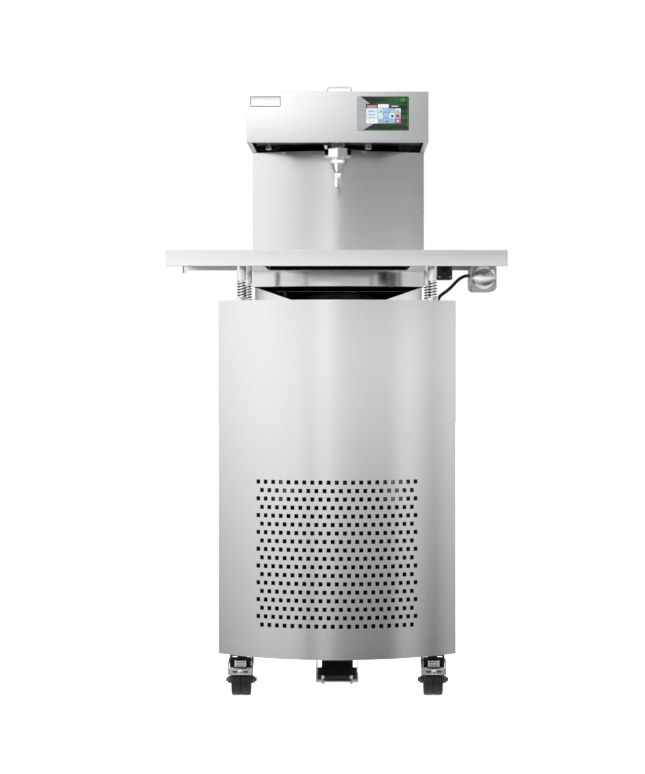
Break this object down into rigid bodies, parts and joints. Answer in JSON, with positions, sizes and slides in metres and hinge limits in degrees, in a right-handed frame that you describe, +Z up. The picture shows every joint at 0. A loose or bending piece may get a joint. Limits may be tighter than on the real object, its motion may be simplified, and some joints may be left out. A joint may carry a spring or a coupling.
{
  "type": "chocolate tempering machine",
  "caption": "Floor-standing chocolate tempering machine: bowed steel cabinet on castors, sprung vibrating mould table, column, head with display and a pouring spout, and a foot pedal.",
  "frame": {"origin": "on the floor, at the middle of the machine's width and depth", "axes": "+Z up, -Y towards the operator and the table, +X to the operator's right"},
  "size_m": [0.8, 0.92, 1.5459],
  "materials": {
    "stainless_brushed": "brushed, satin",
    "stainless_polished": "polished",
    "zinc_plated_steel": "zinc plated, semi-bright",
    "cast_aluminium": "cast, satin",
    "black_plastic": "matt",
    "black_paint": "semi-gloss black",
    "black_rubber": "matt",
    "spring_steel": "dark, oiled",
    "copper_pipe": "bright copper",
    "display_glass": "glossy dark display glass"
  },
  "bodies": {
    "cabinet": {"floor_pan": "stainless_brushed", "front_panel": "stainless_brushed", "left_side_panel": "stainless_brushed", "right_side_panel": "stainless_brushed", "rear_panel": "stainless_brushed", "cable_gland": "black_plastic", "cabinet_top": "stainless_brushed", "compressor": "black_paint", "condenser": "cast_aluminium", "control_box": "black_plastic", "suction_line": "copper_pipe", "column_shell": "stainless_brushed", "column_floor": "stainless_brushed", "left_support_bracket": "stainless_polished", "right_support_bracket": "stainless_polished", "gearbox_cover": "stainless_polished", "stirrer_gearmotor": "cast_aluminium", "screw_gearmotor": "cast_aluminium", "riser_tube": "stainless_polished", "bowl": "stainless_polished", "head_shell": "stainless_brushed", "outlet_manifold": "stainless_polished", "union_nut": "stainless_polished", "nozzle": "stainless_polished", "display_bezel": "black_plastic", "display_glass": "display_glass", "badge_plate": "stainless_polished", "switch_frame": "black_plastic", "front_left_spring": "spring_steel", "rear_left_spring": "spring_steel", "front_right_spring": "spring_steel", "rear_right_spring": "spring_steel", "motor_lead": "black_rubber", "front_left_castor_plate": "zinc_plated_steel", "front_right_castor_plate": "zinc_plated_steel", "rear_left_castor_bracket": "zinc_plated_steel", "rear_right_castor_bracket": "zinc_plated_steel", "pedal_bracket": "stainless_brushed"},
    "table": {"table_top": "stainless_brushed", "left_table_rail": "stainless_brushed", "right_table_rail": "stainless_brushed", "vibration_motor": "cast_aluminium", "motor_end_cap": "cast_aluminium", "terminal_box": "black_plastic"},
    "eccentric": {"eccentric_weight": "zinc_plated_steel"},
    "lid": {"lid": "stainless_brushed", "lid_handle": "stainless_polished"},
    "stirrer": {"stirrer": "stainless_polished"},
    "feed_screw": {"feed_screw": "stainless_polished"},
    "fan": {"fan_wheel": "black_plastic"},
    "switch_rocker": {"switch_rocker": "black_plastic"},
    "pedal": {"pedal_plate": "black_paint"},
    "front_left_castor": {"front_left_castor_fork": "zinc_plated_steel"},
    "front_right_castor": {"front_right_castor_fork": "zinc_plated_steel"},
    "front_left_brake": {"front_left_brake_lever": "zinc_plated_steel"},
    "front_right_brake": {"front_right_brake_lever": "zinc_plated_steel"},
    "front_left_wheel": {"front_left_wheel": "black_rubber"},
    "front_right_wheel": {"front_right_wheel": "black_rubber"},
    "rear_left_wheel": {"rear_left_wheel": "black_rubber"},
    "rear_right_wheel": {"rear_right_wheel": "black_rubber"}
  },
  "joints": [
    {"name": "table_bounce", "type": "slide", "parent": "cabinet", "child": "table", "axis": [0, 0, 1], "range_m": [-0.003, 0.003], "stiffness_N_per_m": 60000, "springref_m": 0.00242, "deforming": ["front_left_spring", "rear_left_spring", "front_right_spring", "rear_right_spring"]},
    {"name": "eccentric_spin", "type": "hinge", "parent": "table", "child": "eccentric", "pos_m": [0.3546, -0.25, 1.012], "axis": [0, 1, 0], "continuous": true},
    {"name": "lid_lift", "type": "slide", "parent": "cabinet", "child": "lid", "axis": [0, 0, 1], "range_m": [0, 0.2]},
    {"name": "stirrer_spin", "type": "hinge", "parent": "cabinet", "child": "stirrer", "pos_m": [0, 0.245, 1.2], "axis": [0, 0, 1], "continuous": true},
    {"name": "feed_screw_spin", "type": "hinge", "parent": "cabinet", "child": "feed_screw", "pos_m": [0, 0.052, 1.25], "axis": [0, 0, 1], "continuous": true},
    {"name": "fan_spin", "type": "hinge", "parent": "cabinet", "child": "fan", "pos_m": [0, -0.15, 0.3], "axis": [0, 1, 0], "continuous": true},
    {"name": "power_switch", "type": "hinge", "parent": "cabinet", "child": "switch_rocker", "pos_m": [0.223, 0.17, 1.21], "axis": [0, 1, 0], "range_deg": [-7, 7]},
    {"name": "pedal_press", "type": "hinge", "parent": "cabinet", "child": "pedal", "pos_m": [0, -0.3, 0.0445], "axis": [1, 0, 0], "range_deg": [-12, 0], "stiffness_Nm_per_rad": 2, "springref_deg": 14.32},
    {"name": "front_left_swivel", "type": "hinge", "parent": "cabinet", "child": "front_left_castor", "pos_m": [-0.232, -0.256, 0.09], "axis": [0, 0, 1], "continuous": true},
    {"name": "front_left_roll", "type": "hinge", "parent": "front_left_castor", "child": "front_left_wheel", "pos_m": [-0.232, -0.288, 0.0375], "axis": [1, 0, 0], "continuous": true},
    {"name": "front_left_brake_press", "type": "hinge", "parent": "front_left_castor", "child": "front_left_brake", "pos_m": [-0.232, -0.292, 0.085], "axis": [1, 0, 0], "range_deg": [0, 8]},
    {"name": "rear_left_roll", "type": "hinge", "parent": "cabinet", "child": "rear_left_wheel", "pos_m": [-0.232, 0.38, 0.0375], "axis": [1, 0, 0], "continuous": true},
    {"name": "front_right_swivel", "type": "hinge", "parent": "cabinet", "child": "front_right_castor", "pos_m": [0.232, -0.256, 0.09], "axis": [0, 0, 1], "continuous": true},
    {"name": "front_right_roll", "type": "hinge", "parent": "front_right_castor", "child": "front_right_wheel", "pos_m": [0.232, -0.288, 0.0375], "axis": [1, 0, 0], "continuous": true},
    {"name": "front_right_brake_press", "type": "hinge", "parent": "front_right_castor", "child": "front_right_brake", "pos_m": [0.232, -0.292, 0.085], "axis": [1, 0, 0], "range_deg": [0, 8]},
    {"name": "rear_right_roll", "type": "hinge", "parent": "cabinet", "child": "rear_right_wheel", "pos_m": [0.232, 0.38, 0.0375], "axis": [1, 0, 0], "continuous": true}
  ]
}
